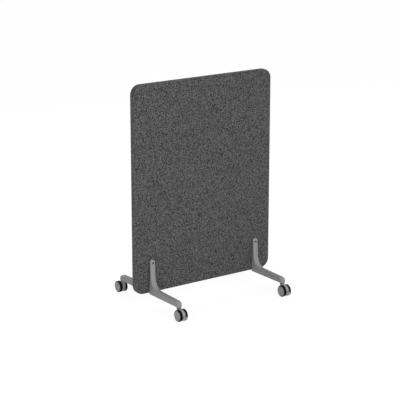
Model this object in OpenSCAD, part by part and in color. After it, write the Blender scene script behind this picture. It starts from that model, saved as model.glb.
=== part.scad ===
// Rolling partition: an upholstered screen panel that stands on two cast feet with twin-wheel
// swivel casters. Millimetres, +Z up, front of the panel towards -Y, origin on the floor under
// the middle of the object.

/* [Panel] */
// Width of the upholstered panel
panel_w = 1000; // [700:10:1600]
// Height of the upholstered panel
panel_h = 1265; // [700:5:1800]
// Radius of the panel's corners
corner_r = 60; // [20:1:150]
// Thickness of the wooden core board
core_t = 20; // [12:1:30]
// Thickness of the wadding on each face
wadding_t = 4.8; // [3:0.2:10]
// Thickness of the fabric cover
cover_t = 1.2; // [0.8:0.1:2]
// Rounding of the cover where it turns from the face to the edge
edge_r = 5; // [3:0.5:8]
// Width of the chamfer that makes the closing seam round the edge
seam_w = 0.8; // [0.4:0.1:1.5]

/* [Feet] */
// Distance from the panel's side edge to the middle of a foot
foot_inset = 116.5; // [60:0.5:250]
// Width of a foot bracket
bracket_w = 33; // [28:1:44]
// Stand-off of the upright from the panel's face, at its foot
upright_d = 25; // [24:1:34]
// Lean of the upright's front towards the panel, in degrees
upright_lean = 3.5; // [2:0.5:4.5]
// Radius that rounds the upright's front over at its top
crest_r = 26; // [20:1:32]
// Height of the upright above the bottom of the panel
upright_h = 209; // [150:1:300]
// Height of the arm's underside above the floor
arm_floor_z = 80.5; // [79:0.5:110]
// Distance from the panel's face to the caster stem
stem_y = 287; // [200:1:380]
// Height of the arm next to the upright
arm_h_root = 40; // [36:0.5:52]
// Height of the arm where its elbow begins
arm_h_tip = 35.5; // [34:0.5:46]
// Radius of the hollow curve between upright and arm
flare_r = 70; // [40:1:95]
// Radius of the elbow over the caster
elbow_r = 32; // [28:1:33]
// Thickness of the raised band that runs round the outside of the bracket
band_t = 12; // [10:0.5:14]
// Radius of the crown across the outside of the band
band_crown_r = 28; // [24:1:40]
// Depth of the recess on each side of the bracket, inside the band
side_recess = 1; // [0.5:0.5:3]
// Width of the upright's web, to which the arm's web narrows upwards
upright_web_w = 23; // [20:0.5:26]
// Width at the panel of the boss behind the upright's round top
boss_w = 28; // [24:0.5:31]
// Depth of the seat of each clamp screw behind the foot of the upright's front
recess_depth = 12; // [10:0.5:14]

/* [Fasteners] */
// Distance from the top of the upright down to the clamp screw
clamp_drop = 22.5; // [20:0.5:60]
// Diameter of the clamp screw's thread
clamp_d = 6; // [5:0.5:7]
// Diameter of the heads of the clamp screw and its sleeve nut
clamp_head_d = 12; // [11:0.5:14]
// Height of those heads
clamp_head_h = 5; // [3:0.5:6]
// Diameter of the sleeve nut's barrel
nut_barrel_d = 9; // [8.5:0.5:10]
// Outside diameter of the spacer sleeve in the panel
sleeve_d = 14; // [12:0.5:18]
// Width of the tie plate under the panel
tie_w = 22; // [20:1:24]
// Thickness of the tie plate
tie_t = 6; // [5:0.5:8]
// How far the tie plate reaches into each bracket
tie_reach = 50; // [44:1:70]
// Depth of the tie plate above the underside of the arms
tie_recess = 2; // [1:0.5:4]
// Diameter of the tie screws
tie_screw_d = 6; // [5:0.5:6]
// Length of the tie screws
tie_screw_l = 20; // [16:1:26]

/* [Casters] */
// Diameter of the wheels over their tyres
wheel_d = 70; // [64:1:72]
// Width of a tyre
tyre_w = 16.2; // [14:0.2:20]
// Depth of a tyre
tyre_t = 3.9; // [3.5:0.1:6]
// Distance that a wheel axle trails behind its stem
trail = 22; // [20:0.5:30]
// Thickness of the housing between the wheels
housing_t = 19; // [18:0.5:24]
// Height of the housing's flat underside above the floor
housing_floor = 7; // [4:0.5:14]
// Diameter of the collar that roofs the wheels round the stem
collar_d = 30; // [26:0.5:32]
// Gap between the housing and each wheel
wheel_gap = 0.6; // [0.4:0.1:1]
// Diameter of the wheel axle
axle_d = 8; // [6:0.5:9]
// Diameter of the swivel stem
stem_d = 10; // [8:0.5:11]
// Length of the stem inside the bracket
stem_grip = 22; // [16:1:24]
// Outside diameter of the swivel bearing ring
ring_d = 27; // [22:0.5:30]
// Height of the swivel bearing ring
ring_h = 6.2; // [4:0.2:8]
// Radius of the hub cap on the outside of a wheel
cap_r = 30; // [28.5:0.5:32]
// How far a hub cap stands out from its wheel
cap_t = 2; // [1.6:0.1:3]
// Rounding of a hub cap's edge
cap_edge_r = 1.4; // [0.8:0.1:1.5]
// Width of the brake lever's arm
lever_w = 9; // [7:0.5:10]
// Width of the brake lever's tread
tread_w = 30; // [16:1:36]
// Diameter of the brake lever's pin
lever_pin_d = 4; // [3:0.5:5]

/* [Clearances] */
// Radial running clearance of a shaft in its bore
fit = 0.05; // [0.02:0.01:0.1]
// Clearance of a fastener in its hole
hole_gap = 0.1; // [0.05:0.05:0.3]
// Clearance between faces that swivel past each other
turn_gap = 0.3; // [0.3:0.1:0.6]

/* [Hidden] */
$fn = 64;

left = -1;
right = 1;
front = -1;
back = 1;
cut = 1; // how far a cutting shape runs past the face it opens

// Panel
panel_t = core_t + 2 * wadding_t + 2 * cover_t;
panel_z = arm_floor_z + tie_recess + tie_t;
foot_x = panel_w / 2 - foot_inset;

// Bracket, in its own frame: panel face at y = 0, outwards +y, floor at z = 0
bracket_r = bracket_w / 2;
bracket_top = panel_z + upright_h;
web_w = bracket_w - 2 * side_recess;
arm_l = stem_y + bracket_r;
flare_y = upright_d + flare_r;
elbow_y = arm_l - elbow_r;
arm_slope = atan2(arm_h_root - arm_h_tip, elbow_y - flare_y);
flare_z = arm_floor_z + arm_h_root + flare_r;
elbow_z = arm_floor_z + arm_h_tip - elbow_r;
bend_lap = 5; // how far the arm and the elbow run into the stretch before them
arm_up = [sin(arm_slope), cos(arm_slope)];
arm_start = [flare_y, flare_z] - (flare_r - 0.12) * arm_up;
arm_end = [elbow_y, elbow_z] + (elbow_r - 0.06) * arm_up;
arm_run = arm_end - arm_start;
cap_z = bracket_top - bracket_r;
upright_out = [cos(upright_lean), sin(upright_lean)];
upright_start = [flare_y, flare_z] - (flare_r - 0.12) * upright_out;
upright_l = (cap_z - upright_start.y) / cos(upright_lean);
cap_y = upright_start.x - upright_l * sin(upright_lean);
crest = [cap_y + 0.58 - crest_r * cos(upright_lean), bracket_top + 1 - crest_r];
boss_r = bracket_r - 1.5;

// Clamp and tie
clamp_z = bracket_top - clamp_drop;
clamp_seat = upright_d - recess_depth;
recess_d = clamp_head_d + 1;
nut_hole_d = nut_barrel_d + 2 * hole_gap;
nut_barrel_l = clamp_seat - 1;
socket_d = clamp_head_d / 2;
socket_h = clamp_head_h - 1.5;
tie_ys = [0.3 * tie_reach, 0.76 * tie_reach];
tie_head_d = 2 * tie_screw_d - 1;

// Casters, in the frame of their stem: outwards +y, floor at z = 0
wheel_r = wheel_d / 2;
rim_r = wheel_r - tyre_t;
tyre_x = housing_t / 2 + wheel_gap;
cap_x = tyre_x + tyre_w;
housing_r = wheel_r - 1;
neck_r = housing_t / 2;
ring_z = arm_floor_z - ring_h;
neck_z = ring_z - turn_gap;
neck_mid_z = neck_z - neck_r - 4;
collar_z = wheel_d + 0.5;
stem_foot_z = wheel_r + 8;
hub_r = axle_d / 2 + 6;
hub_l = tyre_w - 1.8;
axle_l = 2 * (tyre_x + hub_l - 0.4);
rim_in_r = rim_r - 3.5;
lever_y = trail + 15;
lever_z = wheel_r + 2.5;
lever_eye_r = lever_pin_d / 2 + 4.5;
tread_y = trail + wheel_r + 8;
tread_t = 4.5;
tread_h = 13.5;
tread_z = wheel_r - 13;

// ---------- shared shapes ----------

module rounded_rect(w, h, r) {
    square([w - 2 * r, h], center = true);
    square([w, h - 2 * r], center = true);
    for (x = [-1, 1], y = [-1, 1])
        translate([x * (w / 2 - r), y * (h / 2 - r)])
            circle(r = r);
}

// Stands a drawing up in the plane of the panel and thickens it towards -Y from y0
module upright_plate(y0, t) {
    translate([0, y0, panel_z + panel_h / 2])
        rotate([90, 0, 0])
            linear_extrude(t)
                children();
}

// Section through the edge of a padded sheet: a chamfer at the bottom and a round at the top
module edge_section(t, r, chamfer) {
    polygon([[0, 0], [r - chamfer, 0], [r, chamfer], [r, t - r], [0, t - r]]);
    translate([0, t - r])
        intersection() {
            circle(r = r);
            square(r);
        }
}

// A sheet with rounded corners whose upper edge is rounded all the way round
module padded_sheet(w, h, t, corner, r, chamfer) {
    linear_extrude(t)
        rounded_rect(w - 2 * r, h - 2 * r, corner - r);
    for (a = [0, 90, 180, 270]) {
        across = a % 180 == 0 ? w : h;
        along = a % 180 == 0 ? h : w;
        rotate([0, 0, a]) {
            translate([across / 2 - r, along / 2 - corner, 0])
                rotate([90, 0, 0])
                    linear_extrude(along - 2 * corner)
                        edge_section(t, r, chamfer);
            translate([across / 2 - corner, along / 2 - corner, 0])
                rotate_extrude(angle = 90)
                    translate([corner - r, 0])
                        edge_section(t, r, chamfer);
        }
    }
}

// Turns a padded sheet to face the front or the back, with its flat side at distance y
module facing(end, y) {
    translate([0, end * y, panel_z + panel_h / 2])
        rotate([end * -90, 0, 0])
            children();
}

// Both feet, each with its middle at x = 0
module at_feet() {
    for (side = [left, right])
        translate([side * foot_x, 0, 0])
            children();
}

// One corner of the base, with its frame turned so that +y points outwards
module at_corner(side, end) {
    translate([side * foot_x, end * panel_t / 2, 0])
        rotate([0, 0, end < 0 ? 180 : 0])
            children();
}

module at_stem(side, end) {
    at_corner(side, end)
        translate([0, stem_y, 0])
            children();
}

module all_corners() {
    for (side = [left, right], end = [front, back])
        at_corner(side, end)
            children();
}

// A cylinder along x, centred on x = 0
module cross_pin(d, l) {
    rotate([0, 90, 0])
        cylinder(h = l, d = d, center = true);
}

// A cylinder along +y from y0 to y1 at height z
module bore_y(d, y0, y1, z) {
    translate([0, y0, z])
        rotate([-90, 0, 0])
            cylinder(h = y1 - y0, d = d);
}

// Extrudes a drawing of (y, z) to width w, centred on x = 0
module side_plate(w) {
    translate([-w / 2, 0, 0])
        rotate([90, 0, 90])
            linear_extrude(w)
                children();
}

// ---------- panel ----------

module clamp_holes(d) {
    at_feet()
        bore_y(d, -panel_t, panel_t, clamp_z);
}

module core_board() {
    color("burlywood")
        difference() {
            upright_plate(core_t / 2, core_t)
                rounded_rect(panel_w - 2 * cover_t, panel_h - 2 * cover_t, corner_r - cover_t);
            clamp_holes(sleeve_d + 2 * hole_gap);
        }
}

module wadding(end) {
    color("gainsboro")
        difference() {
            facing(end, core_t / 2)
                padded_sheet(panel_w - 2 * cover_t, panel_h - 2 * cover_t, wadding_t,
                             corner_r - cover_t, edge_r - cover_t, 0);
            clamp_holes(sleeve_d + 2 * hole_gap);
        }
}

// Half of the fabric cover: a shallow tray that meets the other half at the seam
module cover(end) {
    color([0.3, 0.3, 0.3])
        difference() {
            facing(end, 0)
                padded_sheet(panel_w, panel_h, panel_t / 2, corner_r, edge_r, seam_w);
            facing(end, 0)
                padded_sheet(panel_w - 2 * cover_t, panel_h - 2 * cover_t, panel_t / 2 - cover_t,
                             corner_r - cover_t, edge_r - cover_t, 0);
            clamp_holes(sleeve_d + 2 * hole_gap);
        }
}

// ---------- feet ----------

// Section through the raised band: flat inside at y = 0, crowned outside up to y = band_t
module band_section() {
    intersection() {
        translate([0, band_t - band_crown_r])
            circle(r = band_crown_r);
        translate([-bracket_r, 0])
            square([bracket_w, band_t]);
    }
}

// Sweeps a section of (distance from centre, x) round an axis along x, between two directions
// measured from straight down towards +y
module band_bend(centre, from, to) {
    translate([0, centre.x, centre.y])
        rotate([0, 90, 0])
            rotate([0, 0, from])
                rotate_extrude(angle = to - from)
                    children();
}

// The band: down the upright, round the hollow flare, along the arm and over the elbow. Upright
// and arm cross the bends at a very small angle, so that no stretches touch along a whole face.
module bracket_band() {
    translate([0, upright_start.x, upright_start.y])
        rotate([upright_lean, 0, 0]) {
            translate([0, -band_t, -bend_lap])
                linear_extrude(upright_l + bend_lap)
                    band_section();
            translate([0, -band_t, upright_l])
                rotate([-90, 0, 0])
                    rotate_extrude()
                        intersection() {
                            band_section();
                            square([bracket_w, band_t]);
                        }
        }
    band_bend([flare_y, flare_z], upright_lean - 90, -arm_slope)
        translate([flare_r + band_t, 0])
            rotate(90)
                band_section();
    translate([0, arm_start.x, arm_start.y])
        rotate([-90 - atan2(-arm_run.y, arm_run.x), 0, 0])
            translate([0, 0, -bend_lap])
                linear_extrude(norm(arm_run) + bend_lap)
                    translate([0, band_t])
                        mirror([0, 1])
                            band_section();
    band_bend([elbow_y, elbow_z], 90, 180 - arm_slope + bend_lap)
        translate([elbow_r - band_t, 0])
            rotate(-90)
                band_section();
    translate([0, arm_l - band_t, arm_floor_z])
        linear_extrude(elbow_z - arm_floor_z)
            band_section();
}

function arc_points(centre, r, from, to, steps = 8) = [
    for (i = [0 : steps])
        let (a = from + (to - from) * i / steps)
            centre + r * [sin(a), -cos(a)]
];

// The web fills the bracket's outline up to the middle of the band, and narrows up the upright
module bracket_web() {
    inner = band_t / 2;
    intersection() {
        side_plate(web_w)
            polygon(concat(
                [[0, arm_floor_z], [arm_l - inner, arm_floor_z]],
                arc_points([elbow_y, elbow_z], elbow_r - inner, 94, 176 - arm_slope),
                arc_points([flare_y, flare_z], flare_r + inner, -arm_slope - 2, upright_lean - 88),
                [[cap_y - inner, cap_z], [0, cap_z]]
            ));
        web_front();
    }
}

// The web's outline seen from the front
module web_front() {
    low = web_w / 2 + 0.4;
    high = upright_web_w / 2;
    low_z = arm_floor_z + arm_h_root / 2;
    translate([0, arm_l, 0])
        rotate([90, 0, 0])
            linear_extrude(arm_l + cut)
                polygon([
                    [-low, arm_floor_z - cut], [low, arm_floor_z - cut], [low, low_z],
                    [high, flare_z], [high, bracket_top], [-high, bracket_top],
                    [-high, flare_z], [-low, low_z]
                ]);
}

// The round boss behind the upright's top, which the clamp screw pulls against the panel
module bracket_boss() {
    translate([0, 0, cap_z])
        rotate([-90, 0, 0])
            cylinder(h = cap_y - band_t / 2, d1 = boss_w, d2 = bracket_w - 1);
}

module bracket_blank() {
    bracket_band();
    bracket_web();
    bracket_boss();
    translate([0, stem_y, arm_floor_z])
        cylinder(h = elbow_z + band_t / 2 - arm_floor_z + 4, r = boss_r);
}

// Seen from above, the arm ends in a half round over the caster. It is a little wider than the
// band, so that its edge crosses the band's faces instead of running along them.
module bracket_plan() {
    translate([-bracket_w, -cut])
        square([2 * bracket_w, stem_y + cut]);
    translate([0, stem_y])
        circle(r = bracket_r + 0.4);
}

// Rounds the upright's front over at its top. The round starts a hair outside the front.
module crest_cut() {
    side_plate(bracket_w + 2 * cut)
        difference() {
            translate(crest)
                square(crest_r + upright_d);
            translate(crest)
                circle(r = crest_r);
        }
}

module bracket_cuts() {
    crest_cut();
    bore_y(nut_hole_d, -cut, upright_d, clamp_z);
    bore_y(recess_d, clamp_seat, upright_d + cut, clamp_z);
    translate([-tie_w / 2 - hole_gap, -cut, arm_floor_z - cut])
        cube([tie_w + 2 * hole_gap, cut + tie_reach + hole_gap, panel_z - arm_floor_z + cut]);
    for (y = tie_ys)
        translate([0, y, arm_floor_z])
            cylinder(h = tie_recess + tie_screw_l + 2, d = tie_screw_d + 2 * fit);
    translate([0, stem_y, arm_floor_z - cut])
        cylinder(h = stem_grip + cut, d = stem_d + 2 * fit);
}

module bracket() {
    color([0.55, 0.55, 0.55])
        difference() {
            intersection() {
                bracket_blank();
                linear_extrude(bracket_top + cut)
                    bracket_plan();
            }
            bracket_cuts();
        }
}

// Flat steel bars under the panel that join the two brackets of each foot and carry the panel
module tie_plates() {
    reach = panel_t / 2 + tie_reach;
    color("silver")
        at_feet()
            difference() {
                translate([0, 0, panel_z - tie_t])
                    linear_extrude(tie_t)
                        rounded_rect(tie_w, 2 * reach, 3);
                for (end = [front, back], y = tie_ys)
                    translate([0, end * (panel_t / 2 + y), panel_z - tie_t])
                        tie_screw_shape(tie_screw_d + 2 * hole_gap, tie_head_d + 2 * hole_gap, -cut);
            }
}

// Countersunk screw standing on its head at z = 0; below is how far the head runs down past it
module tie_screw_shape(d, head_d, below) {
    head_h = (head_d - d) / 2;
    translate([0, 0, below])
        cylinder(h = -below, d = head_d);
    cylinder(h = head_h, d1 = head_d, d2 = d);
    cylinder(h = tie_screw_l, d = d);
}

module tie_screws() {
    color("dimgray")
        all_corners()
            for (y = tie_ys)
                translate([0, y, panel_z - tie_t])
                    difference() {
                        tie_screw_shape(tie_screw_d, tie_head_d, -0.01);
                        translate([0, 0, -cut])
                            cylinder(h = cut + 2.5, d = 4, $fn = 6);
                    }
}

// A round head with a hexagon socket, from y = 0 outwards
module socket_head() {
    difference() {
        bore_y(clamp_head_d, 0, clamp_head_h, 0);
        translate([0, clamp_head_h + cut, 0])
            rotate([90, 0, 0])
                cylinder(h = socket_h + cut, d = socket_d, $fn = 6);
    }
}

module clamp_screws() {
    color("dimgray")
        for (side = [left, right])
            at_corner(side, front)
                translate([0, clamp_seat, clamp_z]) {
                    socket_head();
                    bore_y(clamp_d, -(2 * clamp_seat + panel_t - 3), 0, 0);
                }
}

module clamp_nuts() {
    color("dimgray")
        for (side = [left, right])
            at_corner(side, back)
                translate([0, clamp_seat, clamp_z])
                    difference() {
                        union() {
                            socket_head();
                            bore_y(nut_barrel_d, -nut_barrel_l, 0, 0);
                        }
                        bore_y(clamp_d + 2 * fit, -nut_barrel_l - cut, clamp_head_h - socket_h, 0);
                    }
}

// Steel tubes through the panel, so that the clamp screws pull on metal and not on the padding
module clamp_sleeves() {
    color("silver")
        at_feet()
            difference() {
                bore_y(sleeve_d, -panel_t / 2, panel_t / 2, clamp_z);
                bore_y(clamp_d + 2 * hole_gap, -panel_t, panel_t, clamp_z);
            }
}

// ---------- casters ----------

module caster_stems() {
    groove_z = stem_foot_z + 3;
    color("silver")
        all_corners()
            translate([0, stem_y, 0])
                difference() {
                    union() {
                        translate([0, 0, stem_foot_z + 1])
                            cylinder(h = arm_floor_z + stem_grip - stem_foot_z - 2, d = stem_d);
                        translate([0, 0, stem_foot_z])
                            cylinder(h = 1, d1 = stem_d - 2, d2 = stem_d);
                        translate([0, 0, arm_floor_z + stem_grip - 1])
                            cylinder(h = 1, d1 = stem_d, d2 = stem_d - 2);
                    }
                    translate([0, 0, groove_z])
                        difference() {
                            cylinder(h = 1.5, d = stem_d + 2);
                            cylinder(h = 1.5, d = stem_d - 1.5);
                        }
                }
}

module bearing_rings() {
    color([0.25, 0.25, 0.25])
        all_corners()
            translate([0, stem_y, ring_z])
                difference() {
                    union() {
                        cylinder(h = ring_h - 1.2, d = ring_d - 2);
                        translate([0, 0, ring_h - 1.2])
                            cylinder(h = 1.2, d = ring_d);
                    }
                    translate([0, 0, -cut])
                        cylinder(h = ring_h + 2 * cut, d = stem_d + 2 * fit);
                }
}

// Outline that two circles of (y, z) share when a belt is laid round them. The belt lies a hair
// inside the circles, so that it crosses them.
module belt(c1, r1, c2, r2) {
    d = c2 - c1;
    along = atan2(d.y, d.x);
    lean = acos((r1 - r2) / norm(d));
    a = along + lean;
    b = along - lean;
    p1 = r1 - 0.05;
    p2 = r2 - 0.05;
    polygon([
        c1 + p1 * [cos(a), sin(a)], c1 + p1 * [cos(b), sin(b)],
        c2 + p2 * [cos(b), sin(b)], c2 + p2 * [cos(a), sin(a)]
    ]);
    translate(c1)
        circle(r = r1);
    translate(c2)
        circle(r = r2);
}

// The slot that the brake lever swings in, open below the lever for its travel
module lever_slot() {
    side_plate(lever_w + 0.6) {
        translate([lever_y, lever_z])
            circle(r = lever_eye_r + 0.5);
        polygon([
            [lever_y - 4, lever_z - 5.7], [lever_y, lever_z + lever_eye_r + 0.1],
            [trail + wheel_r, lever_z + lever_eye_r + 0.1], [trail + wheel_r, tread_z - 4.5]
        ]);
    }
}

// Swivel housing: a round fin between the wheels, flat below, that grows out of the neck round the
// stem and carries a collar over the wheels
module housing() {
    color([0.6, 0.6, 0.6])
        difference() {
            union() {
                side_plate(housing_t)
                    belt([0, neck_mid_z], neck_r, [trail, wheel_r], housing_r);
                translate([0, 0, neck_mid_z])
                    cylinder(h = neck_z - neck_mid_z, r = neck_r);
                translate([0, 0, collar_z])
                    cylinder(h = neck_z - collar_z, d1 = collar_d, d2 = collar_d - 2);
            }
            translate([-housing_t, trail - wheel_d, -cut])
                cube([2 * housing_t, 2 * wheel_d, housing_floor + cut]);
            translate([0, 0, stem_foot_z - 2])
                cylinder(h = neck_z, d = stem_d + 2 * fit);
            translate([0, trail, wheel_r])
                cross_pin(axle_d, housing_t + 2 * cut);
            translate([0, lever_y, lever_z])
                cross_pin(lever_pin_d, housing_t + 2 * cut);
            lever_slot();
        }
}

module axle() {
    color("silver")
        translate([0, trail, wheel_r])
            cross_pin(axle_d, axle_l);
}

// Brake lever: an eye on its pin, an arm that fills the housing's slot up to the round outline, and
// a tread behind the wheels
module brake_lever() {
    tread_mid = tread_z + tread_h / 2;
    color([0.6, 0.6, 0.6])
        difference() {
            union() {
                side_plate(lever_w) {
                    translate([lever_y, lever_z])
                        circle(r = lever_eye_r);
                    intersection() {
                        translate([trail, wheel_r])
                            circle(r = housing_r);
                        polygon([
                            [lever_y - 3, lever_z - 5.7], [lever_y + 2, lever_z + 6.1],
                            [tread_y, lever_z + 6.1], [tread_y, tread_z + 1.5]
                        ]);
                    }
                    polygon([
                        [lever_y, lever_z - 4], [lever_y, lever_z + 2],
                        [tread_y + 1, tread_z + tread_h - 1.5], [tread_y + 1, tread_z + 1.8]
                    ]);
                }
                translate([0, tread_y, tread_mid])
                    rotate([-90, 0, 0])
                        linear_extrude(tread_t)
                            rounded_rect(tread_w, tread_h, 3);
            }
            translate([0, lever_y, lever_z])
                cross_pin(lever_pin_d + 2 * fit, lever_w + 2 * cut);
        }
}

module brake_pin() {
    color("silver")
        translate([0, lever_y, lever_z])
            cross_pin(lever_pin_d, housing_t);
}

// Turns a section of (radius, distance from the caster's middle) round the axle, on one side
module about_axle(dir) {
    translate([0, trail, wheel_r])
        rotate([0, dir * 90, 0])
            rotate_extrude()
                children();
}

// Wheel rim: a hub on the axle, a thin disc and a ring that carries the tyre
module rim(dir) {
    disc_x = tyre_x + 5;
    color([0.12, 0.12, 0.12])
        about_axle(dir) {
            translate([axle_d / 2 + fit, tyre_x])
                square([hub_r - axle_d / 2 - fit, hub_l]);
            translate([axle_d / 2 + fit, disc_x])
                square([rim_in_r, 3]);
            translate([rim_in_r, tyre_x])
                square([rim_r - rim_in_r, tyre_w]);
        }
}

module tyre(dir) {
    shoulder = 3;
    color([0.07, 0.07, 0.07])
        about_axle(dir) {
            translate([rim_r, tyre_x])
                square([tyre_t - shoulder, tyre_w]);
            translate([rim_r, tyre_x + shoulder])
                square([tyre_t, tyre_w - 2 * shoulder]);
            for (x = [tyre_x + shoulder, cap_x - shoulder])
                translate([wheel_r - shoulder, x])
                    intersection() {
                        circle(r = shoulder);
                        translate([0, -shoulder])
                            square([shoulder, 2 * shoulder]);
                    }
        }
}

// Hub cap: a disc with a rounded edge and a ring behind it that snaps into the rim
module cap(dir) {
    color([0.6, 0.6, 0.6])
        about_axle(dir) {
            translate([0, cap_x])
                square([cap_r, cap_t - cap_edge_r]);
            translate([0, cap_x])
                square([cap_r - cap_edge_r, cap_t]);
            translate([cap_r - cap_edge_r, cap_x + cap_t - cap_edge_r])
                intersection() {
                    circle(r = cap_edge_r);
                    square(cap_edge_r);
                }
            translate([rim_in_r - 2, cap_x - 3])
                square([2 - hole_gap, 3.2]);
        }
}

// ---------- assembly ----------

core_board();
wadding(front);  // front_wadding
wadding(back);  // back_wadding
cover(front);  // front_cover
cover(back);  // back_cover

at_corner(left, front) bracket();  // left_front_bracket
at_corner(left, back) bracket();  // left_back_bracket
at_corner(right, front) bracket();  // right_front_bracket
at_corner(right, back) bracket();  // right_back_bracket
tie_plates();
tie_screws();
clamp_screws();
clamp_nuts();
clamp_sleeves();
caster_stems();
bearing_rings();

at_stem(left, front) housing();  // left_front_housing
at_stem(left, front) axle();  // left_front_axle
at_stem(left, front) brake_lever();  // left_front_brake_lever
at_stem(left, front) brake_pin();  // left_front_brake_pin
at_stem(left, front) rim(1);  // left_front_rim_left
at_stem(left, front) tyre(1);  // left_front_tyre_left
at_stem(left, front) cap(1);  // left_front_cap_left
at_stem(left, front) rim(-1);  // left_front_rim_right
at_stem(left, front) tyre(-1);  // left_front_tyre_right
at_stem(left, front) cap(-1);  // left_front_cap_right

at_stem(left, back) housing();  // left_back_housing
at_stem(left, back) axle();  // left_back_axle
at_stem(left, back) brake_lever();  // left_back_brake_lever
at_stem(left, back) brake_pin();  // left_back_brake_pin
at_stem(left, back) rim(-1);  // left_back_rim_left
at_stem(left, back) tyre(-1);  // left_back_tyre_left
at_stem(left, back) cap(-1);  // left_back_cap_left
at_stem(left, back) rim(1);  // left_back_rim_right
at_stem(left, back) tyre(1);  // left_back_tyre_right
at_stem(left, back) cap(1);  // left_back_cap_right

at_stem(right, front) housing();  // right_front_housing
at_stem(right, front) axle();  // right_front_axle
at_stem(right, front) brake_lever();  // right_front_brake_lever
at_stem(right, front) brake_pin();  // right_front_brake_pin
at_stem(right, front) rim(1);  // right_front_rim_left
at_stem(right, front) tyre(1);  // right_front_tyre_left
at_stem(right, front) cap(1);  // right_front_cap_left
at_stem(right, front) rim(-1);  // right_front_rim_right
at_stem(right, front) tyre(-1);  // right_front_tyre_right
at_stem(right, front) cap(-1);  // right_front_cap_right

at_stem(right, back) housing();  // right_back_housing
at_stem(right, back) axle();  // right_back_axle
at_stem(right, back) brake_lever();  // right_back_brake_lever
at_stem(right, back) brake_pin();  // right_back_brake_pin
at_stem(right, back) rim(-1);  // right_back_rim_left
at_stem(right, back) tyre(-1);  // right_back_tyre_left
at_stem(right, back) cap(-1);  // right_back_cap_left
at_stem(right, back) rim(1);  // right_back_rim_right
at_stem(right, back) tyre(1);  // right_back_tyre_right
at_stem(right, back) cap(1);  // right_back_cap_right
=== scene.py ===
from math import hypot, radians
import bpy
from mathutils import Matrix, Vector


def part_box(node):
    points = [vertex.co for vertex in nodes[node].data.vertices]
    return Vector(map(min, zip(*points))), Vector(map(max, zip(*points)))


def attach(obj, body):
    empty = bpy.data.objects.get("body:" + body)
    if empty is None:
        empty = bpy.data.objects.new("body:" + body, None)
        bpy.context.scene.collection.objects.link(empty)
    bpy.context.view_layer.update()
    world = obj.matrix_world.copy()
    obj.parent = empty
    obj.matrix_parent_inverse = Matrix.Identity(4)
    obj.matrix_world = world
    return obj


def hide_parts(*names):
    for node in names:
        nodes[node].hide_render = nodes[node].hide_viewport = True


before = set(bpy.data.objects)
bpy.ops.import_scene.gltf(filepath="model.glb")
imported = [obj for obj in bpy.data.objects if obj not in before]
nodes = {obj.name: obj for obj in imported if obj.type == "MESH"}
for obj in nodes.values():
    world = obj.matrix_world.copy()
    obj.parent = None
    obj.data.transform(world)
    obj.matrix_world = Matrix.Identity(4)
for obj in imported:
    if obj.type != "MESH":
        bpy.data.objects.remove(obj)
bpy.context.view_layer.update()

CORNERS = [side + "_" + end for side in ("left", "right") for end in ("front", "back")]

# ---------- camera and light ----------

# The camera is fitted to the outlines in the photograph: lens and sensor in mm, places in metres,
# and degrees for how far it looks down and how far it is turned to the right.
LENS, SENSOR = 129.82, 36
CAMERA_PLACE = (-4.8684, -6.8456, 2.9087)
LOOKS_DOWN, TURNED_RIGHT = 15.390, 35.320
CAMERA_REACH = 60

eye = bpy.data.cameras.new("camera")
eye.lens = LENS
eye.sensor_width = SENSOR
eye.clip_end = CAMERA_REACH
camera = bpy.data.objects.new("camera", eye)
camera.location = CAMERA_PLACE
camera.rotation_euler = (radians(90 - LOOKS_DOWN), 0, radians(-TURNED_RIGHT))
bpy.context.scene.collection.objects.link(camera)
bpy.context.scene.camera = camera
bpy.context.scene.view_settings.view_transform = "Standard"


def softbox(name, place, aim, size, watts):
    """A square lamp that faces the point aim."""
    lamp = bpy.data.lights.new(name, "AREA")
    lamp.size = size
    lamp.energy = watts
    box = bpy.data.objects.new(name, lamp)
    box.location = place
    box.rotation_euler = (Vector(place) - Vector(aim)).to_track_quat("Z", "Y").to_euler()
    bpy.context.scene.collection.objects.link(box)


softbox("front_softbox", place=(0.3, -5.0, 2.3), aim=(0, 0, 0.6), size=3.0, watts=100)
softbox("left_softbox", place=(-2.1, -1.1, 0.9), aim=(0, 0, 0.3), size=1.2, watts=8.5)
softbox("back_softbox", place=(0.4, 4.5, 2.4), aim=(0, 0, 0.6), size=3.0, watts=40)


# ---------- nodes and finishes ----------

def feed(tree, socket, value):
    """Joins another node's output to an input, or sets the input's value."""
    if isinstance(value, bpy.types.NodeSocket):
        tree.links.new(value, socket)
    else:
        socket.default_value = value


def add_node(tree, kind, *inputs, **settings):
    """A new shader node. The inputs come in the node's own order. A setting is an input too if
    the node has one of that name, and otherwise one of the node's properties."""
    node = tree.nodes.new("ShaderNode" + kind)
    for key, value in settings.items():
        if key not in node.inputs:
            setattr(node, key, value)
    for index, value in enumerate(inputs):
        feed(tree, node.inputs[index], value)
    for key, value in settings.items():
        if key in node.inputs:
            feed(tree, node.inputs[key], value)
    return node


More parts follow.
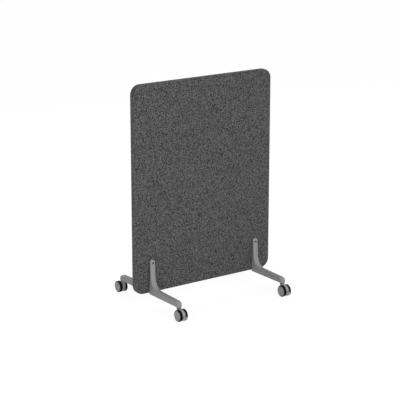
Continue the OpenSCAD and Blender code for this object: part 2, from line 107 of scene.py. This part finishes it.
class Finish:
    """A material that is put together node by node, its patterns fixed to the piece."""

    def __init__(self, name):
        self.material = bpy.data.materials.new(name)
        self.material.use_nodes = True
        self.tree = self.material.node_tree
        self.shader = self.tree.nodes["Principled BSDF"]
        self.place = self.add("TexCoord").outputs["Object"]

    def add(self, kind, *inputs, **settings):
        return add_node(self.tree, kind, *inputs, **settings)

    def surface(self, values):
        """Feeds the shader's inputs, each by its name."""
        for key, value in values.items():
            feed(self.tree, self.shader.inputs[key], value)

    def grain(self, scale, detail, roughness, stretch=(1, 1, 1), turn=(0, 0, 0), output="Fac"):
        """Noise of the given scale per metre."""
        turned = self.add("Mapping", Vector=self.place, Scale=stretch, Rotation=turn)
        noise = self.add("TexNoise", Vector=turned.outputs["Vector"],
                         Scale=scale, Detail=detail, Roughness=roughness)
        return noise.outputs[output]

    def mixed(self, first, second, share):
        """A number between first and second, with the given share of the second."""
        mix = self.add("Mix", data_type="FLOAT", Factor=share, A=first, B=second)
        return mix.outputs["Result"]

    def colours(self, pattern, low, dark, high, light):
        """The colour goes from dark to light as the pattern goes from low to high."""
        ramp = self.add("ValToRGB", Fac=pattern)
        ends = ramp.color_ramp.elements
        ends[0].position = low
        ends[0].color = (*dark, 1)
        ends[1].position = high
        ends[1].color = (*light, 1)
        self.surface({"Base Color": ramp.outputs["Color"]})

    def gloss(self, pattern, smoothest, roughest):
        """The roughness goes from smoothest to roughest as the pattern goes from 0 to 1."""
        rough = self.add("MapRange", Value=pattern, **{"To Min": smoothest, "To Max": roughest})
        self.surface({"Roughness": rough.outputs["Result"]})

    def relief(self, *layers):
        """Bumps over each other, each from a height, a strength and a depth in metres."""
        under = {}
        for height, strength, depth in layers:
            bump = self.add("Bump", Height=height, Strength=strength, Distance=depth, **under)
            under = {"Normal": bump.outputs["Normal"]}
        self.surface(under)


def grey(level):
    """A neutral colour."""
    return (level, level, level)


def melange_felt():
    """Dark grey melange felt: ragged flecks of pale and dark wool about 4 mm wide, under fine
    fibres that cross each other."""
    felt = Finish("melange_felt")
    ragged = felt.grain(scale=520, detail=5, roughness=0.75, output="Color")
    push = (0.011, 0.011, 0.011)
    pushed = felt.add("VectorMath", ragged, push, felt.place, operation="MULTIPLY_ADD")
    flecks = felt.add("TexVoronoi", Vector=pushed.outputs[0], Scale=255).outputs["Color"]
    fibre = {"scale": 620, "detail": 4, "roughness": 0.7}
    long_fibres = felt.grain(**fibre, stretch=(1, 1, 0.28), turn=(0, 0.5, 0))
    cross_fibres = felt.grain(**fibre, stretch=(0.28, 1, 1), turn=(0, 0.3, 0))
    nap = felt.grain(scale=1700, detail=3, roughness=0.7)
    fibres = felt.mixed(long_fibres, cross_fibres, share=0.5)
    tone = felt.mixed(flecks, fibres, share=0.32)
    felt.colours(tone, low=0.285, dark=grey(0.002), high=0.71, light=grey(0.148))
    felt.relief((fibres, 0.5, 0.0006), (nap, 0.35, 0.0003))
    felt.surface({"Roughness": 0.95, "Specular IOR Level": 0.15,
                  "Sheen Weight": 0.1, "Sheen Roughness": 0.5})
    return felt.material


def powder_coat():
    """Satin grey powder coat on a casting: fine orange peel over the faint waves of the cast
    skin."""
    coat = Finish("powder_coat")
    waves = coat.grain(scale=60, detail=2, roughness=0.5)
    peel = coat.grain(scale=900, detail=2, roughness=0.5)
    specks = coat.grain(scale=2600, detail=2, roughness=0.6)
    coat.colours(specks, low=0.35, dark=(0.232, 0.232, 0.234),
                 high=0.65, light=(0.281, 0.281, 0.283))
    coat.gloss(waves, smoothest=0.5, roughest=0.64)
    coat.relief((waves, 0.12, 0.0006), (peel, 0.18, 0.0002))
    coat.surface({"Specular IOR Level": 0.3})
    return coat.material


def moulded(name, dark, light, rough, texture, specular):
    """Moulded plastic or rubber: an even colour with a fine texture and slightly uneven gloss."""
    skin = Finish(name)
    mottle = skin.grain(scale=180, detail=3, roughness=0.6)
    fine = skin.grain(scale=2200, detail=2, roughness=0.6)
    skin.colours(mottle, low=0.35, dark=dark, high=0.65, light=light)
    skin.gloss(mottle, *rough)
    skin.relief((fine, texture, 0.0002))
    skin.surface({"Specular IOR Level": specular})
    return skin.material


def drawn_steel(name, dark, light, rough, metallic):
    """Plated or blackened steel with fine drawn lines."""
    steel = Finish(name)
    lines = steel.grain(scale=700, detail=3, roughness=0.6, stretch=(1, 0.08, 1))
    steel.colours(lines, low=0.3, dark=dark, high=0.7, light=light)
    steel.gloss(lines, *rough)
    steel.relief((lines, 0.08, 0.0001))
    steel.surface({"Metallic": metallic})
    return steel.material


def chipboard():
    """Pressed wood chips of different tones."""
    board = Finish("chipboard")
    chips = board.add("TexVoronoi", Vector=board.place, Scale=260)
    board.colours(chips.outputs["Color"], low=0, dark=(0.30, 0.19, 0.10),
                  high=1, light=(0.56, 0.42, 0.27))
    board.relief((chips.outputs["Distance"], 0.4, 0.0004))
    board.surface({"Roughness": 0.8})
    return board.material


def fleece_wadding():
    """White polyester wadding: pale curled fibres."""
    fleece = Finish("fleece_wadding")
    curls = fleece.grain(scale=400, detail=5, roughness=0.75)
    fleece.colours(curls, low=0.3, dark=(0.62, 0.62, 0.60), high=0.7, light=(0.82, 0.82, 0.80))
    fleece.relief((curls, 0.6, 0.001))
    fleece.surface({"Roughness": 1.0})
    return fleece.material


FELT = melange_felt()
COAT = powder_coat()
GREY_NYLON = moulded("grey_nylon", dark=(0.218, 0.218, 0.220), light=(0.255, 0.255, 0.257),
                     rough=(0.38, 0.5), texture=0.15, specular=0.5)
PALE_NYLON = moulded("pale_nylon", dark=(0.245, 0.245, 0.247), light=(0.285, 0.285, 0.287),
                     rough=(0.38, 0.5), texture=0.15, specular=0.5)
BLACK_NYLON = moulded("black_nylon", dark=grey(0.004), light=grey(0.008),
                      rough=(0.5, 0.65), texture=0.2, specular=0.1)
TREAD_RUBBER = moulded("tread_rubber", dark=grey(0.003), light=grey(0.007),
                       rough=(0.65, 0.8), texture=0.3, specular=0.05)
RING_ACETAL = moulded("ring_acetal", dark=(0.036, 0.036, 0.037), light=(0.05, 0.05, 0.051),
                      rough=(0.45, 0.55), texture=0.1, specular=0.3)
ZINC_STEEL = drawn_steel("zinc_steel", dark=(0.42, 0.42, 0.43), light=(0.60, 0.60, 0.61),
                         rough=(0.25, 0.4), metallic=1.0)
BLACK_STEEL = drawn_steel("black_steel", dark=grey(0.006), light=(0.014, 0.014, 0.0145),
                          rough=(0.5, 0.65), metallic=0.0)
CHIPBOARD = chipboard()
WADDING = fleece_wadding()

FINISH_OF = {
    "core_board": CHIPBOARD,
    "front_wadding": WADDING,
    "back_wadding": WADDING,
    "front_cover": FELT,
    "back_cover": FELT,
    "tie_plates": ZINC_STEEL,
    "tie_screws": BLACK_STEEL,
    "clamp_screws": BLACK_STEEL,
    "clamp_nuts": BLACK_STEEL,
    "clamp_sleeves": ZINC_STEEL,
    "caster_stems": ZINC_STEEL,
    "bearing_rings": RING_ACETAL,
}
for corner in CORNERS:
    FINISH_OF[corner + "_bracket"] = COAT
    FINISH_OF[corner + "_housing"] = PALE_NYLON
    FINISH_OF[corner + "_brake_lever"] = PALE_NYLON
    FINISH_OF[corner + "_axle"] = ZINC_STEEL
    FINISH_OF[corner + "_brake_pin"] = ZINC_STEEL
    for wheel in ("left", "right"):
        FINISH_OF[corner + "_rim_" + wheel] = BLACK_NYLON
        FINISH_OF[corner + "_tyre_" + wheel] = TREAD_RUBBER
        FINISH_OF[corner + "_cap_" + wheel] = GREY_NYLON

for name, node in nodes.items():
    node.data.materials.clear()
    node.data.materials.append(FINISH_OF[name])


# ---------- the felt covers ----------

# The panel, from the frame. Each half of the cover reaches from the seam at y = 0 to its face.
low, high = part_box("front_cover")
PANEL_W = high.x - low.x
PANEL_LOW, PANEL_TOP = low.z, high.z
HALF_T = -low.y

# Radius and steps of the rounded corners, of the soft edge and of the seam's groove.
CORNER_R, CORNER_STEPS = 0.06, 16
EDGE_R, EDGE_STEPS = 0.005, 6
SEAM_R, SEAM_STEPS = 0.0008, 2

# What lies on the face: a bracket's round boss, centred below its top, and its web. The web's
# half width narrows by WEB_NARROWS from one height on, over the next stretch of the upright.
BOSS_R = 0.014
BOSS_BELOW_TOP = 0.0148
WEB_HALF_W = 0.0155
WEB_NARROWS = 0.004
WEB_NARROWS_FROM, WEB_NARROWS_OVER = 0.1005, 0.09
bracket_low, bracket_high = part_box("left_front_bracket")
FOOT_X = -(bracket_high.x + bracket_low.x) / 2
BOSS_Z = bracket_high.z - BOSS_BELOW_TOP

# The felt stands up by PUFF, reached this far in from the soft edge and this far from a bracket.
PUFF = 0.0007
PUFF_FROM_EDGE = 0.03
PUFF_FROM_FOOT = 0.008

# Cuts that give the face its points: an even grid, and closer cuts beside the brackets.
COLUMN_W, ROW_H = 0.02, 0.025
CUTS_BESIDE_FOOT = (0, 0.006, 0.0125, 0.015, 0.018, 0.023)
CUTS_ROUND_BOSS = (-0.014, -0.007, 0, 0.005, 0.01, 0.014, 0.018, 0.022)

# Points less than HAIR apart count as level, and less than MERGE apart as the same point. A point
# further out than FACE is on the panel's face.
HAIR = 0.0001
MERGE = 0.00002
FACE = HALF_T - HAIR

# Edges that bend more than this many degrees stay sharp.
SHARP_ANGLE = 50


def select_none():
    """Leaves edit mode and deselects everything."""
    if bpy.context.mode != "OBJECT":
        bpy.ops.object.mode_set(mode="OBJECT")
    bpy.ops.object.select_all(action="DESELECT")


def smooth_step(x):
    """0 up to 0 and 1 from 1 on, with a smooth rise between them."""
    x = min(max(x, 0.0), 1.0)
    return x * x * (3 - 2 * x)


def from_bracket(x, z):
    """How far a point of the panel's face is from the nearest bracket, 0 where it is covered."""
    off = abs(abs(x) - FOOT_X)
    narrowed = min(max((z - WEB_NARROWS_FROM) / WEB_NARROWS_OVER, 0.0), 1.0)
    web = hypot(max(off - WEB_HALF_W + WEB_NARROWS * narrowed, 0.0), max(z - BOSS_Z, 0.0))
    boss = hypot(off, z - BOSS_Z) - BOSS_R
    return max(min(web, boss), 0.0)


def round_edges(mesh, wanted, radius, steps):
    """Bevels the edges whose two ends pass the test wanted, and leaves the mesh in edit mode."""
    bpy.ops.object.mode_set(mode="EDIT")
    bpy.ops.mesh.select_mode(type="EDGE")
    bpy.ops.mesh.select_all(action="DESELECT")
    bpy.ops.object.mode_set(mode="OBJECT")
    for edge in mesh.edges:
        a, b = (mesh.vertices[i].co for i in edge.vertices)
        edge.select = wanted(a, b)
    bpy.ops.object.mode_set(mode="EDIT")
    bpy.ops.mesh.bevel(offset=radius, offset_type="OFFSET", segments=steps)


# Three tests of an edge by its two ends: through the panel's thickness, round its face, and along
# the seam.

def through_panel(a, b):
    return abs(a.y - b.y) > HALF_T / 2


def round_face(a, b):
    return abs(a.y) > FACE and abs(b.y) > FACE


def along_seam(a, b):
    return abs(a.y) < HAIR and abs(b.y) < HAIR


def cut_face():
    """Cuts the felt that is being edited into columns and rows, closer together beside the
    brackets."""
    columns = round(PANEL_W / 2 / COLUMN_W)
    cuts_x = {i * COLUMN_W for i in range(1 - columns, columns)}
    for side in (-1, 1):
        for step in CUTS_BESIDE_FOOT:
            cuts_x |= {side * FOOT_X - step, side * FOOT_X + step}
    rows = int((PANEL_TOP - PANEL_LOW) / ROW_H)
    cuts_z = {PANEL_LOW + i * ROW_H for i in range(1, rows)}
    cuts_z |= {BOSS_Z + step for step in CUTS_ROUND_BOSS}

    planes = [((x, 0, 0), (1, 0, 0)) for x in sorted(cuts_x)]
    planes += [((0, 0, z), (0, 0, 1)) for z in sorted(cuts_z)]
    for place, normal in planes:
        bpy.ops.mesh.select_all(action="SELECT")
        bpy.ops.mesh.bisect(plane_co=place, plane_no=normal)
    bpy.ops.mesh.select_all(action="SELECT")
    bpy.ops.mesh.remove_doubles(threshold=MERGE)


def puff_face(mesh, end):
    """Lets the face stand up where it is free of the soft edge and of the brackets."""
    for v in mesh.vertices:
        if abs(v.co.y) < FACE:
            continue
        from_side = min(PANEL_W / 2 - abs(v.co.x), v.co.z - PANEL_LOW, PANEL_TOP - v.co.z)
        inward = smooth_step((from_side - EDGE_R) / PUFF_FROM_EDGE)
        free = smooth_step(from_bracket(v.co.x, v.co.z) / PUFF_FROM_FOOT)
        v.co.y += end * PUFF * inward * free


def felt_half(name, end, node):
    """One half of the felt cover: rounded corners, a soft edge, half of the seam's groove, and
    felt that stands up a little round the brackets that press into it. end is -1 for the front
    and 1 for the back."""
    select_none()
    bpy.ops.mesh.primitive_cube_add(
        size=1, location=(0, end * HALF_T / 2, (PANEL_LOW + PANEL_TOP) / 2),
        scale=(PANEL_W, HALF_T, PANEL_TOP - PANEL_LOW))
    felt = bpy.context.object
    felt.name = name
    bpy.ops.object.transform_apply(location=True, rotation=True, scale=True)
    mesh = felt.data
    round_edges(mesh, through_panel, CORNER_R, CORNER_STEPS)
    round_edges(mesh, round_face, EDGE_R, EDGE_STEPS)
    round_edges(mesh, along_seam, SEAM_R, SEAM_STEPS)
    cut_face()
    bpy.ops.mesh.normals_make_consistent(inside=False)
    bpy.ops.object.mode_set(mode="OBJECT")
    puff_face(mesh, end)
    bpy.ops.object.shade_smooth_by_angle(angle=radians(SHARP_ANGLE))
    mesh.materials.append(FELT)
    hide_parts(node)
    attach(felt, "screen")


felt_half("front_felt", -1, "front_cover")
felt_half("back_felt", 1, "back_cover")


# ---------- floor and background ----------

WHITE = (1, 1, 1, 1)
FLOOR_W = 60
FLOOR_PALE = 0.9
# How much of the floor is plain white to the camera. The rest shows the object's shadow.
FLOOR_WHITE_SHARE = 0.8
FLOOR_WHITE = 1.1
ROOM_LIGHT = 0.62


def white_when_seen(tree, dull, light, share, strength):
    """Joins the dull shader with plain white light that only the camera, gloss and glass see.
    light is the kind of node that gives it."""
    white = add_node(tree, light, Color=WHITE, Strength=strength)
    rays = add_node(tree, "LightPath").outputs
    seen = rays["Is Camera Ray"]
    for ray in ("Is Glossy Ray", "Is Transmission Ray"):
        seen = add_node(tree, "Math", seen, rays[ray], operation="MAXIMUM").outputs[0]
    part = add_node(tree, "Math", seen, share, operation="MULTIPLY")
    mix = add_node(tree, "MixShader", part.outputs[0], dull.outputs[0], white.outputs[0])
    return mix.outputs[0]


select_none()
bpy.ops.mesh.primitive_plane_add(size=FLOOR_W, location=(0, 0, 0))
floor = bpy.context.object
floor.name = "studio_floor"
paint = bpy.data.materials.new("floor_paint")
paint.use_nodes = True
tree = paint.node_tree
tree.nodes.clear()
matt = add_node(tree, "BsdfDiffuse", Color=(*grey(FLOOR_PALE), 1))
pale = white_when_seen(tree, matt, "Emission", share=FLOOR_WHITE_SHARE, strength=FLOOR_WHITE)
add_node(tree, "OutputMaterial", Surface=pale)
floor.data.materials.append(paint)

world = bpy.data.worlds.new("studio")
bpy.context.scene.world = world
world.use_nodes = True
tree = world.node_tree
tree.nodes.clear()
room = add_node(tree, "Background", Color=WHITE, Strength=ROOM_LIGHT)
pale = white_when_seen(tree, room, "Background", share=1, strength=1)
add_node(tree, "OutputWorld", Surface=pale)

select_none()
